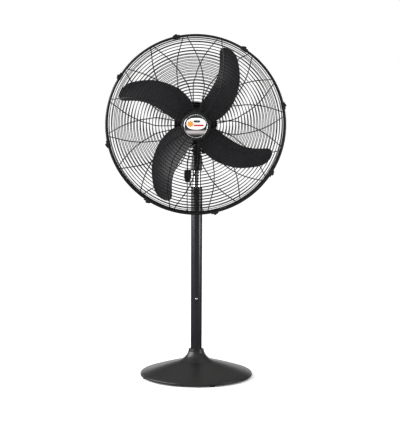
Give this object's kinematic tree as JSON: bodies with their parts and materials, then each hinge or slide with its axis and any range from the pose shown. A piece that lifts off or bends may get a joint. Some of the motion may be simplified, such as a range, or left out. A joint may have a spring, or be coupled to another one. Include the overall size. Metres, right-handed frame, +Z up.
{
  "type": "pedestal fan",
  "caption": "Black pedestal fan with a round wire cage, sickle-shaped blades, chrome hub badge, telescopic pole with pull-cord switch, and a wide domed round base.",
  "frame": {"origin": "on the floor, on the pole's axis, at the middle of the round base", "axes": "+Z up along the pole, the fan blows towards -Y, +X is to the right as seen from in front of the fan"},
  "size_m": [0.703, 0.4528, 1.3765],
  "materials": {
    "black_paint": "satin black powder coat",
    "blade_paint": "satin charcoal paint on pressed aluminium",
    "wire_paint": "black powder coat on steel wire",
    "black_plastic": "fine textured black moulding",
    "chrome": "bright chrome plate",
    "chrome_badge": "bright chrome dome with an enamelled middle",
    "zinc_steel": "zinc plate",
    "iron": "as cast",
    "brass": "turned",
    "rubber": "matt",
    "cable_rubber": "matt PVC sheath"
  },
  "bodies": {
    "stand": {"base_shell": "black_paint", "base_plate": "zinc_steel", "base_weight": "iron", "pole_bolt": "zinc_steel", "tube_plug": "zinc_steel", "pole_collar": "black_plastic", "outer_tube": "black_paint", "tube_bush": "black_plastic", "tube_grommet": "rubber", "tube_screw": "chrome", "cable_gland": "black_plastic", "foot_1": "rubber", "foot_2": "rubber", "foot_3": "rubber", "foot_4": "rubber"},
    "height_lock": {"height_knob": "black_plastic"},
    "mast": {"inner_tube": "chrome", "tube_stop": "black_plastic", "neck_socket": "black_paint", "switch_box": "black_plastic", "switch_lead": "cable_rubber"},
    "pull": {"pull_cord": "cable_rubber", "pull_bead": "black_plastic"},
    "tilt_lock": {"tilt_knob": "black_plastic"},
    "yoke": {"tilt_block": "black_paint", "spindle": "zinc_steel"},
    "link": {"link_rod": "zinc_steel"},
    "crank": {"crank": "zinc_steel"},
    "head": {"swivel_housing": "black_paint", "motor_shell": "black_paint", "motor_front_cover": "black_paint", "motor_rear_cover": "black_paint", "stator": "iron", "front_bearing": "zinc_steel", "rear_bearing": "zinc_steel", "gearbox": "black_plastic", "rear_guard": "wire_paint", "front_guard": "wire_paint", "front_plate": "black_paint", "badge": "chrome_badge"},
    "wheel": {"worm_wheel": "brass"},
    "oscillation_control": {"oscillation_knob": "black_plastic"},
    "rotor": {"shaft": "zinc_steel", "rotor_core": "iron", "worm": "zinc_steel", "blade_hub": "black_paint", "hub_nut": "zinc_steel", "blade_1": "blade_paint", "blade_2": "blade_paint", "blade_3": "blade_paint", "blade_4": "blade_paint"},
    "clip_1": {"clip_1": "black_paint"},
    "clip_2": {"clip_2": "black_paint"},
    "clip_3": {"clip_3": "black_paint"},
    "clip_4": {"clip_4": "black_paint"},
    "clip_5": {"clip_5": "black_paint"},
    "clip_6": {"clip_6": "black_paint"},
    "clip_7": {"clip_7": "black_paint"},
    "clip_8": {"clip_8": "black_paint"}
  },
  "joints": [
    {"name": "height", "type": "slide", "parent": "stand", "child": "mast", "axis": [0, 0, 1], "range_m": [-0.07, 0.34]},
    {"name": "height_lock_turn", "type": "hinge", "parent": "stand", "child": "height_lock", "pos_m": [0, 0.03, 0.74], "axis": [0, 1, 0], "range_deg": [0, 360]},
    {"name": "switch_pull", "type": "slide", "parent": "mast", "child": "pull", "axis": [0, 0, -1], "range_m": [0, 0.012], "stiffness_N_per_m": 200, "springref_m": -0.004},
    {"name": "tilt_lock_turn", "type": "hinge", "parent": "mast", "child": "tilt_lock", "pos_m": [0, 0, 0.912], "axis": [1, 0, 0], "range_deg": [0, 360]},
    {"name": "tilt", "type": "hinge", "parent": "mast", "child": "yoke", "pos_m": [0, 0, 0.912], "axis": [1, 0, 0], "range_deg": [-25, 12]},
    {"name": "oscillate", "type": "hinge", "parent": "yoke", "child": "head", "pos_m": [0, 0, 0.944], "axis": [0, 0, 1], "range_deg": [-45, 45]},
    {"name": "link_swing", "type": "hinge", "parent": "yoke", "child": "link", "pos_m": [-0.018, 0, 0.9365], "axis": [0, 0, 1], "range_deg": [-45, 45]},
    {"name": "crank_turn", "type": "hinge", "parent": "head", "child": "crank", "pos_m": [-0.009, 0.08, 0.942], "axis": [0, 0, 1], "range_deg": [-74, 74]},
    {"name": "spin", "type": "hinge", "parent": "head", "child": "rotor", "pos_m": [-0.006, 0, 1.025], "axis": [0, 1, 0], "continuous": true},
    {"name": "worm_wheel_turn", "type": "hinge", "parent": "head", "child": "wheel", "pos_m": [-0.006, 0.078, 1.0004], "axis": [1, 0, 0], "continuous": true},
    {"name": "oscillation_control_pull", "type": "slide", "parent": "head", "child": "oscillation_control", "axis": [0, 0, 1], "range_m": [0, 0.008]},
    {"name": "clip_open_1", "type": "hinge", "parent": "head", "child": "clip_1", "pos_m": [0.33229, -0.1445, 1.1], "axis": [-0.2164, 0, 0.9763], "range_deg": [0, 80]},
    {"name": "clip_open_2", "type": "hinge", "parent": "head", "child": "clip_2", "pos_m": [0.18017, -0.1445, 1.31723], "axis": [-0.8434, 0, 0.5373], "range_deg": [0, 80]},
    {"name": "clip_open_3", "type": "hinge", "parent": "head", "child": "clip_3", "pos_m": [-0.081, -0.1445, 1.36329], "axis": [-0.9763, 0, -0.2164], "range_deg": [0, 80]},
    {"name": "clip_open_4", "type": "hinge", "parent": "head", "child": "clip_4", "pos_m": [-0.29823, -0.1445, 1.21117], "axis": [-0.5373, 0, -0.8434], "range_deg": [0, 80]},
    {"name": "clip_open_5", "type": "hinge", "parent": "head", "child": "clip_5", "pos_m": [-0.34429, -0.1445, 0.95], "axis": [0.2164, 0, -0.9763], "range_deg": [0, 80]},
    {"name": "clip_open_6", "type": "hinge", "parent": "head", "child": "clip_6", "pos_m": [-0.19217, -0.1445, 0.73276], "axis": [0.8434, 0, -0.5373], "range_deg": [0, 80]},
    {"name": "clip_open_7", "type": "hinge", "parent": "head", "child": "clip_7", "pos_m": [0.069, -0.1445, 0.68671], "axis": [0.9763, 0, 0.2164], "range_deg": [0, 80]},
    {"name": "clip_open_8", "type": "hinge", "parent": "head", "child": "clip_8", "pos_m": [0.28624, -0.1445, 0.83883], "axis": [0.5373, 0, 0.8434], "range_deg": [0, 80]}
  ],
  "couplings": [
    {"joint": "link_swing", "follows": "oscillate", "ratio": 1},
    {"joint": "crank_turn", "follows": "oscillate", "ratio": -1.64},
    {"joint": "worm_wheel_turn", "follows": "spin", "ratio": 0.033333}
  ]
}
